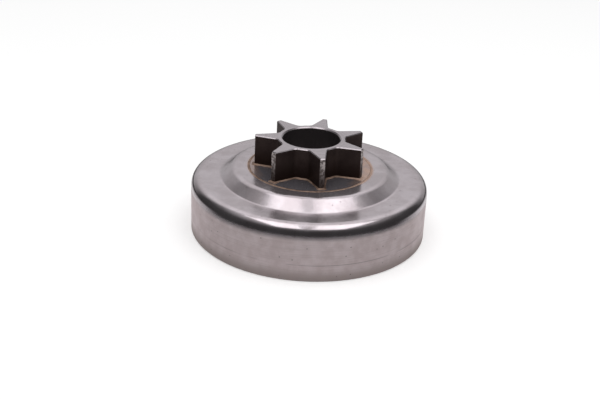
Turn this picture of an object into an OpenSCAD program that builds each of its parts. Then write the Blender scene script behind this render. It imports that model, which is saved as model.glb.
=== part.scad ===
// Chainsaw clutch drum with a brazed spur sprocket.
// A pressed steel cup carries a turned and milled spur sprocket in its middle.
// The sprocket's round flange lies flush in the cup's hub, and copper braze joins the two.
// The clutch shoes push on the wall from inside, the brake band grips it from outside,
// and the saw chain's drive links run in the gaps of the sprocket.
// Millimetres, +Z up, origin at the centre of the open rim that the drum stands on.

/* [Drum cup] */
// Outside diameter of the drum wall
drum_d = 75; // [71:0.5:80]
// Thickness of the sheet, the same in wall and web
sheet_t = 2.2; // [1.8:0.1:2.4]
// Height of the flat shelf round the hub above the open rim
shelf_z = 17.9; // [16:0.1:21]
// Outside radius of the shoulder between wall and shelf
shoulder_r = 3.1; // [2.8:0.1:4.4]
// Chamfer on both edges of the open rim
rim_chamfer = 0.4; // [0.2:0.05:0.6]

/* [Hub step] */
// Rise of the hub's flat top above the shelf
step_h = 3; // [2.4:0.1:3.8]
// Diameter of the hub's flat top
hub_flat_d = 46.8; // [45:0.2:50]
// Slope of the step against the shelf, in degrees
step_slope = 36; // [33:1:44]
// Radius of the convex bend at the hub's edge
crest_r = 2.6; // [2.5:0.1:3.2]
// Radius of the hollow bend where the step meets the shelf
hollow_r = 1.2; // [0.6:0.1:1.6]

/* [Sprocket] */
// Number of teeth
teeth = 7; // [6:1:8]
// Diameter over the tooth tips
tip_d = 35.3; // [33.5:0.1:36.5]
// Diameter at the bottom of the gaps
root_d = 21.4; // [21:0.1:23]
// Width of the flat land at a tooth's tip
tip_land = 1.5; // [1:0.1:2.2]
// Angle between the two flanks of one tooth, in degrees
flank_angle = 31; // [26:1:34]
// Radius of the hollow corner between a flank and the bottom of a gap
root_fillet = 1.8; // [1.2:0.1:2.2]
// Height of the teeth above the hub
tooth_h = 9.8; // [8:0.1:13]
// Chamfer round the top edge of the teeth
edge_break = 0.25; // [0.1:0.05:0.5]
// Turn of the front tooth from the -Y axis, in degrees
tooth_turn = 11.7; // [0:0.1:51]

/* [Bearing seat] */
// Diameter of the bore in which the needle cage runs
bore_d = 18; // [16:0.1:19]
// Chamfer at both mouths of the bore
bore_chamfer = 0.4; // [0.2:0.05:0.7]
// Outside diameter of the thrust boss inside the drum
boss_d = 25; // [22.4:0.2:30]
// Height of the thrust boss below the flange
boss_h = 2.4; // [1.4:0.1:3]

/* [Braze joint] */
// How far the sprocket's round flange stands out past the tips of the teeth
flange_margin = 1.55; // [1.3:0.05:2.3]
// Width of the gap between flange and cup that the braze fills
joint_gap = 0.12; // [0.08:0.01:0.2]
// Chamfer on both edges of the cup's hole, filled by the braze
joint_chamfer = 0.5; // [0.3:0.05:0.7]
// How far the ring of braze stands proud of the hub
ring_crown = 0.08; // [0.04:0.01:0.15]
// Leg of the bead of braze round the foot of the teeth
bead_leg = 0.8; // [0.4:0.05:1]

/* [Hidden] */
$fn = 96;

drum_r = drum_d / 2;
hub_z = shelf_z + step_h;
root_r = root_d / 2;
tip_r = tip_d / 2;
flange_r = tip_r + flange_margin;
hole_r = flange_r + joint_gap;
bore_r = bore_d / 2;
top_z = hub_z + tooth_h;
web_z = hub_z - sheet_t;
boss_z = web_z - boss_h;
bead_lip = 0.05; // width of the bead's upper edge
skip = 1; // overshoot of every cut

// Unit vector that leans away from the up direction by an angle
function lean(angle) = [sin(angle), cos(angle)];

// Centre of the crest's bend, and the centre of the hollow bend beyond the straight slope
crest_c = [hub_flat_d / 2, hub_z - crest_r];
slope_l = (step_h - (crest_r + hollow_r) * (1 - cos(step_slope))) / sin(step_slope);
hollow_c = [crest_c.x + (crest_r + hollow_r) * sin(step_slope) + slope_l * cos(step_slope),
            shelf_z + hollow_r];

// Area below the cup's top surface, drawn inwards by depth: 0 is the outside, sheet_t the inside
module below_surface(depth) {
    crest_end = crest_c + (crest_r - depth) * lean(step_slope);
    hollow_start = hollow_c - (hollow_r + depth) * lean(step_slope);
    difference() {
        union() {
            translate([0, -skip])
                square([drum_r - depth, shelf_z - shoulder_r + skip]);
            translate([0, -skip])
                square([drum_r - shoulder_r, shelf_z - depth + skip]);
            translate([drum_r - shoulder_r, shelf_z - shoulder_r])
                circle(shoulder_r - depth);
            polygon([[0, 0], [hollow_c.x, 0], [hollow_c.x, shelf_z - depth], hollow_start,
                     crest_end, [crest_c.x, hub_z - depth], [0, hub_z - depth]]);
            translate(crest_c)
                circle(crest_r - depth);
        }
        translate(hollow_c)
            circle(hollow_r + depth);
    }
}

// Right triangle at a corner, with legs that run along the signs of its two sizes
module corner_cut(corner, leg_r, leg_z) {
    polygon([corner, corner + [leg_r, 0], corner + [0, leg_z]]);
}

// Section of the cup: the sheet between its two surfaces, with the rim and the hub's hole cut
module cup_section() {
    difference() {
        below_surface(0);
        below_surface(sheet_t);
        translate([0, -2 * skip])
            square([drum_r + skip, 2 * skip]);
        translate([0, -skip])
            square([hole_r, hub_z + 2 * skip]);
        corner_cut([drum_r, 0], -rim_chamfer, rim_chamfer);
        corner_cut([drum_r - sheet_t, 0], rim_chamfer, rim_chamfer);
        corner_cut([hole_r, hub_z], joint_chamfer, -joint_chamfer);
        corner_cut([hole_r, web_z], joint_chamfer, joint_chamfer);
    }
}

module drum_cup() {
    color([0.67, 0.64, 0.65])
        rotate_extrude()
            cup_section();
}

// The flank of a tooth that points along +X is the line y = flank_y - flank_m * x
flank_m = tan(flank_angle / 2);
flank_y = tip_land / 2 + tip_r * flank_m;
flank_out = [sin(flank_angle / 2), cos(flank_angle / 2)];

// Centre of the fillet circle, which touches the flank and the root circle
fillet_y = flank_y + root_fillet / flank_out.y;
fillet_reach = root_r + root_fillet;
fillet_x = (flank_m * fillet_y
            + sqrt(pow(flank_m * fillet_y, 2)
                   - (1 + flank_m * flank_m) * (fillet_y * fillet_y - fillet_reach * fillet_reach)))
           / (1 + flank_m * flank_m);
fillet_c = [fillet_x, fillet_y - flank_m * fillet_x];

// Outline of one tooth along +X with the hollow corners at its foot
module tooth_shape() {
    intersection() {
        circle(tip_r);
        polygon([[0, -flank_y], [tip_r + skip, -tip_land / 2 + skip * flank_m],
                 [tip_r + skip, tip_land / 2 - skip * flank_m], [0, flank_y]]);
    }
    for (side = [0, 1])
        mirror([0, side])
            difference() {
                corner_sector();
                translate(fillet_c)
                    circle(root_fillet);
            }
}

// Sector between the bottom of a gap and a flank, in which the hollow corner lies
module corner_sector() {
    polygon([[0, 0], fillet_c, fillet_c - (root_fillet + skip) * flank_out]);
}

// Turn to each tooth in its place
module at_each_tooth() {
    for (i = [0 : teeth - 1])
        rotate(tooth_turn - 90 + i * 360 / teeth)
            children();
}

module star_shape() {
    circle(root_r);
    at_each_tooth()
        tooth_shape();
}

// Side of a sloped tooth: everything inside the plane that leans from low at its foot to high
module flank_side(low, high, h) {
    translate([0, flank_y, 0])
        rotate(-flank_angle / 2)
            rotate([90, 0, 90])
                translate([0, 0, -tip_r])
                    linear_extrude(3 * tip_r)
                        polygon([[-tip_r, 0], [low, 0], [high, h], [-tip_r, h]]);
}

module sloped_tooth(low, high, h) {
    intersection() {
        cylinder(r1 = tip_r + low, r2 = tip_r + high, h = h);
        flank_side(low, high, h);
        mirror([0, 1, 0])
            flank_side(low, high, h);
        translate([0, -tip_r, 0])
            cube([2 * tip_r, 2 * tip_r, h]);
    }
    for (side = [0, 1])
        mirror([0, side, 0])
            difference() {
                linear_extrude(h)
                    corner_sector();
                translate([fillet_c.x, fillet_c.y, 0])
                    cylinder(r1 = root_fillet - low, r2 = root_fillet - high, h = h);
            }
}

// Star with sloped sides: its outline is moved out by low at the foot and by high at the top
module sloped_star(low, high, h) {
    cylinder(r1 = root_r + low, r2 = root_r + high, h = h);
    at_each_tooth()
        sloped_tooth(low, high, h);
}

// Turned outline below the teeth: flange and thrust boss
module blank_section() {
    polygon([[0, boss_z], [boss_d / 2, boss_z], [boss_d / 2, web_z], [flange_r, web_z],
             [flange_r, hub_z], [0, hub_z]]);
}

module bore_section() {
    translate([0, boss_z - skip])
        square([bore_r, top_z - boss_z + 2 * skip]);
    corner_cut([bore_r, top_z], bore_chamfer, -bore_chamfer);
    corner_cut([bore_r, boss_z], bore_chamfer, bore_chamfer);
}

module spur_sprocket() {
    color([0.30, 0.28, 0.28])
        difference() {
            union() {
                rotate_extrude()
                    blank_section();
                translate([0, 0, hub_z - skip])
                    linear_extrude(tooth_h - edge_break + skip)
                        star_shape();
                translate([0, 0, top_z - edge_break])
                    sloped_star(0, -edge_break, edge_break);
            }
            rotate_extrude()
                bore_section();
        }
}

// Bead of copper that ran into the corner between the teeth and the flange
module braze_foot_bead() {
    color([0.72, 0.52, 0.40])
        translate([0, 0, hub_z])
            difference() {
                sloped_star(bead_leg, bead_lip, bead_leg);
                translate([0, 0, -skip])
                    linear_extrude(bead_leg + 2 * skip)
                        star_shape();
            }
}

// Ring of copper in the joint, with a low crown on top and a flat foot below
module braze_ring() {
    color([0.72, 0.52, 0.40])
        rotate_extrude()
            polygon([[flange_r, web_z], [hole_r + joint_chamfer, web_z],
                     [hole_r, web_z + joint_chamfer], [hole_r, hub_z - joint_chamfer],
                     [hole_r + joint_chamfer, hub_z], [hole_r + joint_chamfer / 2, hub_z + ring_crown],
                     [flange_r, hub_z + ring_crown]]);
}

drum_cup();
spur_sprocket();
braze_ring();
braze_foot_bead();
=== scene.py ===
# A chainsaw clutch drum: a drawn steel cup on its open rim, with a spur sprocket brazed into its hub.
import math

import bpy
from mathutils import Matrix, Vector


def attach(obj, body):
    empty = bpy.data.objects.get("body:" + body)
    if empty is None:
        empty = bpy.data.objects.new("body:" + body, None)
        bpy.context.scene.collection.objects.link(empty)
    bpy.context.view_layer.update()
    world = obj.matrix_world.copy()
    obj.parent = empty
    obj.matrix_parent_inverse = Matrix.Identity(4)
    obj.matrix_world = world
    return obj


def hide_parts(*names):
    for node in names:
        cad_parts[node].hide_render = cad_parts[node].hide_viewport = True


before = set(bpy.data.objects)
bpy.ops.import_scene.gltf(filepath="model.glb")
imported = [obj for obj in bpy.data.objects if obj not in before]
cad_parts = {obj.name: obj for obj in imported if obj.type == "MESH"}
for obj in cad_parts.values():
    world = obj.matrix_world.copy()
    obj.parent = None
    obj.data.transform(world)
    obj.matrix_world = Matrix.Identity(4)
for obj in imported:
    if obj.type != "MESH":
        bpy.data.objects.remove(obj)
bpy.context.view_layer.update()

# Sizes of the drum, in millimetres, as in the solids
MM = 0.001
TEETH = 7
TOOTH_TURN = math.radians(11.7)  # of the front tooth from -Y towards +X
DRUM_R = 37.5
SHELF_Z = 17.9
SHOULDER_R = 3.1
WALL_TOP = SHELF_Z - SHOULDER_R
HUB_Z = 20.9
TOP_Z = 30.7
TIP_R = 17.65
ROOT_R = 10.7
TIP_LAND = 1.5
FLANK_ANGLE = math.radians(31)
ROOT_FILLET = 1.8
BORE_R = 9.0
FLANGE_R = 19.2
HOLE_R = 19.32
JOINT_CHAMFER = 0.5
SHEET_T = 2.2

# Sizes of what only this script draws, in millimetres
SCRATCH_Z = 5.4  # height of the fine ring that the brake band left on the wall
BEAD_WIDTH = 0.48
BEAD_TIP_EXTRA = 0.5  # by which the bead is wider in front of a tooth's tip
BEAD_HEIGHT = 0.36
BEAD_HOLLOW = 0.55  # of the bead's slope: 0 is straight, 1 a quarter circle
RING_INSIDE = 0.12  # how far the ring spreads over the flange
RING_OUTSIDE = 0.04  # how far the ring spreads over the hub, past the chamfer of its hole
RING_CROWN = 0.09
SINK = 0.03  # how far the hidden faces of the braze reach into the steel


def linear(hex_colour, alpha=1.0):
    """An sRGB hex colour as the linear colour that a shader takes."""
    out = []
    for i in (0, 2, 4):
        c = int(hex_colour[i:i + 2], 16) / 255
        out.append(c / 12.92 if c <= 0.04045 else ((c + 0.055) / 1.055) ** 2.4)
    return (*out, alpha)


def grey(value):
    return (value, value, value, 1.0)


def node(tree, kind, links=None, **settings):
    """Adds a node. Links feed its inputs; settings are its properties or, with in_ before, its inputs."""
    n = tree.nodes.new(kind)
    for key, value in settings.items():
        if key.startswith("in_"):
            name = key[3:]
            n.inputs[int(name) if name.isdigit() else name.replace("_", " ")].default_value = value
        else:
            setattr(n, key, value)
    for key, source in (links or {}).items():
        tree.links.new(source, n.inputs[key])
    return n


# Camera, fitted to the ellipses and tooth edges of the photograph
CAM_ELEVATION = math.radians(24.852)
CAM_ROLL = math.radians(2.578)
CAM_DISTANCE = 8.781 * DRUM_R * MM
LOOK_AT = Vector((-0.0725, 0, 0.2394)) * DRUM_R * MM
LENS = 61.4


def make_camera():
    data = bpy.data.cameras.new("camera")
    data.sensor_fit = "HORIZONTAL"
    data.sensor_width = 36
    data.lens = LENS
    data.clip_start = 0.01
    camera = bpy.data.objects.new("camera", data)
    bpy.context.scene.collection.objects.link(camera)
    place = LOOK_AT + Vector((0, -math.cos(CAM_ELEVATION), math.sin(CAM_ELEVATION))) * CAM_DISTANCE
    turn = Matrix.Rotation(math.radians(90) - CAM_ELEVATION, 4, "X") @ Matrix.Rotation(CAM_ROLL, 4, "Z")
    camera.matrix_world = Matrix.Translation(place) @ turn
    bpy.context.scene.camera = camera


def make_world():
    """White for the camera. Reflections see a white wall behind the drum and a dim room elsewhere.

    All else is lit by an even grey."""
    world = bpy.data.worlds.new("studio")
    bpy.context.scene.world = world
    world.use_nodes = True
    t = world.node_tree
    t.nodes.clear()
    coord = node(t, "ShaderNodeTexCoord")
    xyz = node(t, "ShaderNodeSeparateXYZ", {0: coord.outputs["Generated"]})
    level = node(t, "ShaderNodeCombineXYZ", {0: xyz.outputs["X"], 1: xyz.outputs["Y"]})
    heading = node(t, "ShaderNodeVectorMath", {0: level.outputs[0]}, operation="NORMALIZE")
    ahead = node(t, "ShaderNodeSeparateXYZ", {0: heading.outputs[0]})
    behind = step(t, ahead.outputs["Y"], 0.5, 0.9)
    dim = node(t, "ShaderNodeValToRGB", {"Fac": xyz.outputs["Z"]})
    ramp(dim, [(0.0, 0.045), (0.45, 0.06), (0.62, 0.13), (0.75, 0.3), (0.87, 0.5), (1.0, 0.75)])
    bright = node(t, "ShaderNodeValToRGB", {"Fac": xyz.outputs["Z"]})
    ramp(bright, [(0.0, 0.5), (0.3, 0.52), (0.42, 0.68), (0.6, 0.85), (0.75, 1.0), (1.0, 1.0)])
    studio = mixed(t, behind, dim.outputs["Color"], bright.outputs["Color"])
    path = node(t, "ShaderNodeLightPath")
    lit = node(t, "ShaderNodeBackground", {"Color": studio}, in_Strength=1.0)
    soft = node(t, "ShaderNodeBackground", in_Color=grey(0.55), in_Strength=1.0)
    white = node(t, "ShaderNodeBackground", in_Color=grey(1.0), in_Strength=1.0)
    rays = {0: path.outputs["Is Camera Ray"], 1: path.outputs["Is Transmission Ray"]}
    seen = node(t, "ShaderNodeMath", rays, operation="MAXIMUM")
    hidden = switched(t, path.outputs["Is Glossy Ray"], soft, lit)
    node(t, "ShaderNodeOutputWorld", {"Surface": switched(t, seen.outputs[0], hidden, white).outputs[0]})


def switched(tree, fac, low, high):
    """The shader low where fac is 0, and high where it is 1."""
    return node(tree, "ShaderNodeMixShader", {0: fac, 1: low.outputs[0], 2: high.outputs[0]})


def ramp(n, stops):
    """Fills a colour ramp with (place, grey) stops."""
    r = n.color_ramp
    r.interpolation = "EASE"
    r.elements.remove(r.elements[-1])
    for i, (place, level) in enumerate(stops):
        e = r.elements[0] if i == 0 else r.elements.new(place)
        e.position = place
        e.color = grey(level)


def soft_box(name, place, aim, width, height, radiance):
    """A square lamp in metres; a mirror shows it at its radiance, where 1 is white."""
    light = bpy.data.lights.new(name, "AREA")
    light.shape = "RECTANGLE"
    light.size = width
    light.size_y = height
    light.energy = radiance * math.pi * width * height
    o = bpy.data.objects.new(name, light)
    bpy.context.scene.collection.objects.link(o)
    o.location = place
    o.rotation_euler = (Vector(aim) - Vector(place)).to_track_quat("-Z", "Y").to_euler()


def make_floor():
    """A pale card. A reflection shows it white close behind the drum and dark in front."""
    bpy.ops.object.select_all(action="DESELECT")
    bpy.ops.mesh.primitive_circle_add(vertices=96, radius=0.6, fill_type="NGON", location=(0, 0, -0.00002))
    floor = bpy.context.object
    floor.name = "floor"
    mat = bpy.data.materials.new("white sweep, matt card")
    mat.use_nodes = True
    t = mat.node_tree
    t.nodes.clear()
    geo = node(t, "ShaderNodeNewGeometry")
    xyz = node(t, "ShaderNodeSeparateXYZ", {0: geo.outputs["Position"]})
    away = node(t, "ShaderNodeVectorMath", {0: geo.outputs["Position"]}, operation="LENGTH")
    near = product(t, step(t, xyz.outputs["Y"], -0.03, 0.015), step(t, away.outputs["Value"], 0.13, 0.05))
    path = node(t, "ShaderNodeLightPath")
    card = node(t, "ShaderNodeBsdfDiffuse", in_Color=grey(0.86))
    glow = node(t, "ShaderNodeEmission", in_Color=grey(1.0), in_Strength=0.35)
    shown = node(t, "ShaderNodeAddShader", {0: card.outputs[0], 1: glow.outputs[0]})
    dark = node(t, "ShaderNodeEmission", in_Color=grey(0.05), in_Strength=1.0)
    pale = node(t, "ShaderNodeEmission", in_Color=grey(0.85), in_Strength=1.0)
    out = switched(t, path.outputs["Is Glossy Ray"], shown, switched(t, near, dark, pale))
    node(t, "ShaderNodeOutputMaterial", {"Surface": out.outputs[0]})
    floor.data.materials.append(mat)


def material(name):
    """A new material with its node tree, its shader and the object's own coordinates."""
    m = bpy.data.materials.new(name)
    m.use_nodes = True
    t = m.node_tree
    t.nodes.clear()
    shader = node(t, "ShaderNodeBsdfPrincipled")
    node(t, "ShaderNodeOutputMaterial", {"Surface": shader.outputs[0]})
    coord = node(t, "ShaderNodeTexCoord")
    return m, t, shader, coord.outputs["Object"]


def polar(t, where):
    """Radius and height of a point, in millimetres."""
    xyz = node(t, "ShaderNodeSeparateXYZ", {0: where})
    flat = node(t, "ShaderNodeCombineXYZ", {0: xyz.outputs["X"], 1: xyz.outputs["Y"]})
    radius = node(t, "ShaderNodeVectorMath", {0: flat.outputs[0]}, operation="LENGTH")
    r_mm = node(t, "ShaderNodeMath", {0: radius.outputs["Value"]}, operation="MULTIPLY", in_1=1000.0)
    z_mm = node(t, "ShaderNodeMath", {0: xyz.outputs["Z"]}, operation="MULTIPLY", in_1=1000.0)
    return r_mm.outputs[0], z_mm.outputs[0]


def step(t, value, low, high):
    """0 below low, 1 above high, smooth between."""
    n = node(t, "ShaderNodeMapRange", {"Value": value}, interpolation_type="SMOOTHSTEP")
    n.inputs["From Min"].default_value = low
    n.inputs["From Max"].default_value = high
    return n.outputs["Result"]


def rings(t, r, z, where, per_mm):
    """Noise drawn out into rings round the axis, as a turning tool leaves them: per_mm to a millimetre."""
    across = node(t, "ShaderNodeMath", {0: r}, operation="MULTIPLY", in_1=per_mm)
    up = node(t, "ShaderNodeMath", {0: z}, operation="MULTIPLY", in_1=per_mm)
    xyz = node(t, "ShaderNodeSeparateXYZ", {0: where})
    along = node(t, "ShaderNodeMath", {0: xyz.outputs["X"], 1: xyz.outputs["Y"]}, operation="ADD")
    slow = node(t, "ShaderNodeMath", {0: along.outputs[0]}, operation="MULTIPLY", in_1=60.0)
    place = node(t, "ShaderNodeCombineXYZ", {0: across.outputs[0], 1: up.outputs[0], 2: slow.outputs[0]})
    n = node(t, "ShaderNodeTexNoise", {"Vector": place.outputs[0]},
             in_Scale=1.0, in_Detail=3.0, in_Roughness=0.6)
    return n.outputs["Fac"]


def cloud(t, where, size_mm, detail=3.0):
    """Soft noise whose blotches are about size_mm across."""
    n = node(t, "ShaderNodeTexNoise", {"Vector": where},
             in_Scale=1000.0 / size_mm, in_Detail=detail, in_Roughness=0.55)
    return n.outputs["Fac"]


def product(t, *values):
    """Product of numbers or sockets, of which the first is a socket."""
    out = values[0]
    for v in values[1:]:
        n = node(t, "ShaderNodeMath", {0: out}, operation="MULTIPLY")
        if isinstance(v, (int, float)):
            n.inputs[1].default_value = v
        else:
            t.links.new(v, n.inputs[1])
        out = n.outputs[0]
    return out


def mixed(t, fac, low, high):
    """Colour mix; low and high are hex colours or sockets."""
    n = node(t, "ShaderNodeMixRGB", {"Fac": fac})
    for i, c in ((1, low), (2, high)):
        if isinstance(c, str):
            n.inputs[i].default_value = linear(c)
        else:
            t.links.new(c, n.inputs[i])
    return n.outputs["Color"]


def value_mix(t, fac, low, high):
    """Number between low and high by fac; low and high are numbers or sockets."""
    n = node(t, "ShaderNodeMapRange", {"Value": fac})
    for name, v in (("To Min", low), ("To Max", high)):
        if isinstance(v, (int, float)):
            n.inputs[name].default_value = v
        else:
            t.links.new(v, n.inputs[name])
    return n.outputs["Result"]


def added(t, first, second):
    return node(t, "ShaderNodeMath", {0: first, 1: second}, operation="ADD").outputs[0]


def bumped(t, shader, height, depth_mm):
    n = node(t, "ShaderNodeBump", {"Height": height}, in_Strength=1.0, in_Distance=depth_mm * MM)
    t.links.new(n.outputs["Normal"], shader.inputs["Normal"])


def pits(t, where, cell_mm, size):
    """Small dark dots, one in some of the cells of cell_mm."""
    v = node(t, "ShaderNodeTexVoronoi", {"Vector": where}, in_Scale=1000.0 / cell_mm, in_Randomness=1.0)
    dot = step(t, v.outputs["Distance"], size, size * 0.4)
    xyz = node(t, "ShaderNodeSeparateColor", {0: v.outputs["Color"]})
    some = step(t, xyz.outputs[0], 0.62, 0.66)
    return product(t, dot, some)


def copper_stain(t, where, r, z):
    """Where copper ran thinly over the steel beside the joint: clearly at the right, faintly at the left."""
    place = node(t, "ShaderNodeVectorMath", {0: where}, operation="NORMALIZE")
    heading = node(t, "ShaderNodeSeparateXYZ", {0: place.outputs[0]})
    right = step(t, heading.outputs["X"], 0.38, 0.60)
    left = product(t, step(t, heading.outputs["X"], -0.48, -0.62), 0.5)
    band = product(t, step(t, r, 16.0, 17.2), step(t, r, 20.6, 19.4), step(t, z, HUB_Z - 0.4, HUB_Z - 0.2),
                   step(t, z, HUB_Z + 0.3, HUB_Z + 0.1))
    thickness = value_mix(t, step(t, cloud(t, where, 2.4), 0.3, 0.6), 0.6, 0.95)
    return product(t, added(t, right, left), band, thickness)


def steel_cup():
    # Gives the eye a satin grey face with a pink cast, a polished shoulder and a matt turned wall, with
    # painted shade along the wall's foot.
    m, t, shader, where = material("deep-drawn steel, turned wall")
    r, z = polar(t, where)
    wall = step(t, z, WALL_TOP + 0.2, WALL_TOP - 1.9)
    shoulder = product(t, step(t, z, SHELF_Z - 0.1, SHELF_Z - 0.7),
                       step(t, z, WALL_TOP - 0.4, WALL_TOP + 0.4))
    lines = rings(t, r, z, where, 3.2)
    blotch = cloud(t, where, 9)
    fine = cloud(t, where, 1.6)
    dots = pits(t, where, 1.9, 0.14)
    base = mixed(t, step(t, blotch, 0.35, 0.65), "BDB3B7", "CDC4C9")
    mottle = cloud(t, where, 3.2)
    wall_base = mixed(t, step(t, mottle, 0.3, 0.7), "D3C3C4", "E2D4D6")
    wall_base = mixed(t, product(t, step(t, lines, 0.45, 0.75), 0.5), wall_base, "C2B4B2")
    # painted shade: the wall's colour darkens towards its bottom edge, standing in for the shade where the
    # drum meets the floor
    wall_base = mixed(t, step(t, z, 5.0, 0.3), wall_base, "AFA19F")
    scratch = product(t, step(t, z, SCRATCH_Z - 0.16, SCRATCH_Z - 0.05),
                      step(t, z, SCRATCH_Z + 0.16, SCRATCH_Z + 0.05))
    part_way = step(t, cloud(t, where, 14), 0.4, 0.55)
    wall_base = mixed(t, product(t, scratch, part_way, 0.55), wall_base, "85787A")
    c = mixed(t, wall, base, wall_base)
    c = mixed(t, product(t, dots, 0.65), c, "5A4C4A")
    c = mixed(t, copper_stain(t, where, r, z), c, "C9A898")
    t.links.new(c, shader.inputs["Base Color"])
    t.links.new(value_mix(t, wall, value_mix(t, shoulder, 0.86, 1.0), 0.5), shader.inputs["Metallic"])
    face = value_mix(t, fine, 0.16, 0.28)
    rough = value_mix(t, wall, value_mix(t, shoulder, face, 0.16), value_mix(t, fine, 0.5, 0.66))
    t.links.new(rough, shader.inputs["Roughness"])
    fine_lines = product(t, lines, value_mix(t, wall, 0.12, 0.3))
    peel = product(t, cloud(t, where, 1.9), 0.55)
    waves = added(t, product(t, blotch, 1.6), peel)
    bumped(t, shader, added(t, fine_lines, waves), 0.02)
    return m


def steel_sprocket():
    # Gives the eye brown-black scale on the milled flanks, a grey ground top and speckled worn tooth lands,
    # with painted shade on the top's chamfers and in the bore.
    m, t, shader, where = material("hardened steel, scaled flanks, ground top")
    r, z = polar(t, where)
    geo = node(t, "ShaderNodeTexCoord")
    up = node(t, "ShaderNodeSeparateXYZ", {0: geo.outputs["Normal"]})
    fine = cloud(t, where, 0.9)
    blotch = cloud(t, where, 5)
    lines = rings(t, r, z, where, 4.0)
    level = node(t, "ShaderNodeMath", {0: up.outputs["Z"]}, operation="ABSOLUTE").outputs[0]
    ground = step(t, level, 0.45, 0.6)
    tip = product(t, step(t, r, TIP_R - 0.12, TIP_R - 0.05), step(t, z, HUB_Z + 0.2, HUB_Z + 0.6))
    worn = step(t, z, HUB_Z + 1.5, TOP_Z - 1.0)
    speck = step(t, cloud(t, where, 0.7, 2.0), 0.56, 0.44)
    land = product(t, tip, value_mix(t, worn, 0.12, 0.9), value_mix(t, speck, 0.35, 1.0))
    scale = mixed(t, step(t, blotch, 0.35, 0.65), "493C3A", "544744")
    # darker towards the foot of the flanks, near the flange
    scale = mixed(t, step(t, z, HUB_Z + 0.5, HUB_Z + 7.5), "33241F", scale)
    scale = mixed(t, land, scale, "D2C8C6")
    steel = mixed(t, step(t, lines, 0.3, 0.7), "BAB1B5", "CBC3C8")
    flange = product(t, ground, step(t, z, HUB_Z + 0.3, HUB_Z + 0.1))
    # painted shade: the chamfers round the ground top are mixed a quarter of the way towards dark grey,
    # which dims their highlight
    chamfer_painted_shade = product(t, ground, step(t, level, 0.95, 0.85))
    c = mixed(t, ground, scale, steel)
    c = mixed(t, product(t, chamfer_painted_shade, 0.25), c, "6E6668")
    c = mixed(t, product(t, flange, 0.8), c, "817D84")
    c = mixed(t, copper_stain(t, where, r, z), c, "C9A898")
    # painted shade: the bore's wall is darkened nearly to black, standing in for the dark that the steel
    # reflects inside the drum
    bore_painted_shade = step(t, r, BORE_R + 0.1, BORE_R + 0.02)
    c = mixed(t, product(t, bore_painted_shade, 0.9), c, "4A4546")
    t.links.new(c, shader.inputs["Base Color"])
    metal = value_mix(t, ground, value_mix(t, land, 0.75, 0.2), 1.0)
    t.links.new(value_mix(t, flange, metal, 0.72), shader.inputs["Metallic"])
    rough = value_mix(t, ground, value_mix(t, fine, 0.36, 0.5), value_mix(t, fine, 0.2, 0.3))
    t.links.new(rough, shader.inputs["Roughness"])
    grain = product(t, fine, value_mix(t, ground, 1.0, 0.3))
    bumped(t, shader, added(t, grain, product(t, lines, 0.3)), 0.015)
    return m


def copper():
    # Gives the eye a dull tan seam, paler and pinker at the right where it spread thinly.
    m, t, shader, where = material("furnace-brazed copper, dulled")
    blotch = cloud(t, where, 2.5)
    c = mixed(t, step(t, blotch, 0.3, 0.7), "7A6255", "AB8F7E")
    heading = node(t, "ShaderNodeSeparateXYZ", {0: where})
    c = mixed(t, product(t, step(t, heading.outputs["X"], 0.010, 0.017), 0.6), c, "D0B0A0")
    t.links.new(c, shader.inputs["Base Color"])
    shader.inputs["Metallic"].default_value = 0.6
    t.links.new(value_mix(t, blotch, 0.45, 0.65), shader.inputs["Roughness"])
    bumped(t, shader, cloud(t, where, 0.6), 0.02)
    return m


def put_on(mat, *names):
    """Gives the solids of the frame their material."""
    for name in names:
        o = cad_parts[name]
        o.data.materials.clear()
        o.data.materials.append(mat)


def star_outline():
    """Points with outward normals along the foot of the star, in millimetres; a corner has several."""
    half = FLANK_ANGLE / 2
    slope = math.tan(half)
    flank_y = TIP_LAND / 2 + TIP_R * slope
    out = Vector((math.sin(half), math.cos(half)))
    y0 = flank_y + ROOT_FILLET / out.y
    reach = ROOT_R + ROOT_FILLET
    k = 1 + slope * slope
    fx = (slope * y0 + math.sqrt((slope * y0) ** 2 - k * (y0 * y0 - reach * reach))) / k
    centre = Vector((fx, y0 - slope * fx))
    side = []
    land_turn = math.asin(TIP_LAND / 2 / TIP_R)
    for i in range(3):
        a = land_turn * i / 2
        side.append((Vector((math.cos(a), math.sin(a))) * TIP_R, Vector((math.cos(a), math.sin(a)))))
    corner = side[-1][0]
    turn_out = math.atan2(out.y, out.x)
    for i in range(1, 6):
        a = land_turn + (turn_out - land_turn) * i / 5
        side.append((corner, Vector((math.cos(a), math.sin(a)))))
    touch = centre - ROOT_FILLET * out
    for i in range(1, 13):
        side.append((corner.lerp(touch, i / 12), out))
    a0 = turn_out
    a1 = math.atan2(centre.y, centre.x)
    for i in range(1, 9):
        a = a0 + (a1 - a0) * i / 8
        n = Vector((math.cos(a), math.sin(a)))
        side.append((centre - ROOT_FILLET * n, n))
    gap = math.pi / TEETH
    for i in range(1, 7):
        a = a1 + (gap - a1) * i / 6
        n = Vector((math.cos(a), math.sin(a)))
        side.append((n * ROOT_R, n))
    mirrored = [(Vector((p.x, -p.y)), Vector((n.x, -n.y))) for p, n in reversed(side[1:])]
    tooth = mirrored[1:] + side
    points = []
    for i in range(TEETH):
        turn = Matrix.Rotation(TOOTH_TURN - math.pi / 2 + i * math.tau / TEETH, 2)
        points += [(turn @ p, turn @ n) for p, n in tooth]
    return points


def wander(turn, seed):
    """A slow, even variation from -1 to 1 round the axis; turn is in radians."""
    waves = ((1.0, 3, 1.0), (0.8, 7, 2.1), (0.6, 17, 3.7))  # share, waves round the axis, shift by the seed
    return sum(share * math.sin(count * turn + shift * seed) for share, count, shift in waves) / 2.4


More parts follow.
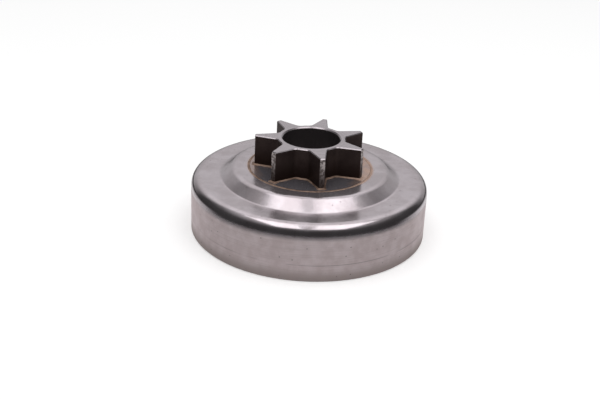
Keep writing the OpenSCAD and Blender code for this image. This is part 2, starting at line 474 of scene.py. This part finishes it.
def closed_loop(name, count, row_points):
    """A ring of any section: rows of count points, closed round the axis and from last row to first."""
    bpy.ops.object.select_all(action="DESELECT")
    bpy.ops.mesh.primitive_circle_add(vertices=count, radius=1.0, fill_type="NOTHING", location=(0, 0, 0))
    o = bpy.context.object
    o.name = name
    rows = len(row_points)
    for _ in range(rows - 1):
        bpy.ops.object.mode_set(mode="EDIT")
        bpy.ops.mesh.extrude_region_move()
        bpy.ops.object.mode_set(mode="OBJECT")
    for row in range(rows):
        for i in range(count):
            o.data.vertices[row * count + i].co = row_points[row][i]
    bpy.ops.object.mode_set(mode="EDIT")
    bpy.ops.mesh.select_all(action="DESELECT")
    bpy.ops.object.mode_set(mode="OBJECT")
    for e in o.data.edges:
        ends = {v // count for v in e.vertices}
        e.select = ends == {0} or ends == {rows - 1}
    bpy.ops.object.mode_set(mode="EDIT")
    bpy.ops.mesh.select_mode(type="EDGE")
    bpy.ops.mesh.bridge_edge_loops()
    bpy.ops.mesh.select_all(action="SELECT")
    bpy.ops.mesh.normals_make_consistent(inside=False)
    bpy.ops.object.mode_set(mode="OBJECT")
    bpy.ops.object.shade_smooth_by_angle(angle=math.radians(50))
    return o


def finish_piece(o, mat, slot_name, *replaced):
    o.data.materials.clear()
    o.data.materials.append(mat)
    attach(o, "root")
    if replaced:
        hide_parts(*replaced)


def foot_bead(mat):
    """The uneven bead of copper round the foot of the star."""
    outline = star_outline()
    rows = [[] for _ in range(8)]
    for p, n in outline:
        turn = math.atan2(p.y, p.x)
        swell = 1 + 0.22 * wander(turn, 1.3)
        far = (p.length - ROOT_R) / (TIP_R - ROOT_R)
        width = (BEAD_WIDTH + BEAD_TIP_EXTRA * max(0.0, far - 0.8) / 0.2) * swell
        height = BEAD_HEIGHT * (1 + 0.25 * wander(turn, 4.2))
        section = [(-SINK, height)]
        for i in range(5):
            part = (i + 0.5) / 5
            a = math.pi / 2 * part
            x = BEAD_HOLLOW * (1 - math.cos(a)) + (1 - BEAD_HOLLOW) * part
            y = BEAD_HOLLOW * (1 - math.sin(a)) + (1 - BEAD_HOLLOW) * (1 - part)
            section.append((width * x, height * y))
        section += [(width, -SINK), (-SINK, -SINK)]
        for row, (d, h) in zip(rows, section):
            q = p + n * d
            row.append(Vector((q.x, q.y, HUB_Z + h)) * MM)
    o = closed_loop("foot_braze", len(outline), rows)
    finish_piece(o, mat, "braze_copper", "braze_foot_bead")


def joint_ring(mat):
    """The uneven ring of copper in the joint between flange and cup, down to the cup's inside."""
    count = 288
    rows = [[] for _ in range(10)]
    for i in range(count):
        turn = math.tau * i / count
        inner = FLANGE_R - RING_INSIDE - 0.16 * (1 + wander(turn, 2.2)) / 2
        outer = HOLE_R + JOINT_CHAMFER + RING_OUTSIDE * (1 + wander(turn, 5.1))
        top = RING_CROWN * (1 + 0.35 * wander(turn, 0.7))
        crown = [(inner, -SINK), (inner + 0.06, 0.5 * top), ((inner + outer) / 2, top),
                 (outer - 0.08, 0.5 * top), (outer, -SINK)]
        foot = [(HOLE_R + SINK, -JOINT_CHAMFER), (HOLE_R + SINK, JOINT_CHAMFER - SHEET_T),
                (HOLE_R + JOINT_CHAMFER, -SHEET_T), (FLANGE_R, -SHEET_T), (FLANGE_R, -4 * SINK)]
        for row, (radius, h) in zip(rows, crown + foot):
            row.append(Vector((radius * math.cos(turn), radius * math.sin(turn), HUB_Z + h)) * MM)
    o = closed_loop("joint_braze", count, rows)
    finish_piece(o, mat, "braze_copper", "braze_ring")


make_camera()
make_world()
make_floor()
soft_box("overhead left", (-0.19, -0.16, 0.64), (-0.19, -0.16, 0), 0.28, 0.64, 1.35)
soft_box("overhead right", (0.23, -0.16, 0.64), (0.23, -0.16, 0), 0.36, 0.64, 1.35)
put_on(steel_cup(), "drum_cup")
put_on(steel_sprocket(), "spur_sprocket")
braze = copper()
put_on(braze, "braze_ring", "braze_foot_bead")
foot_bead(braze)
joint_ring(braze)

bpy.context.scene.view_settings.view_transform = "Standard"
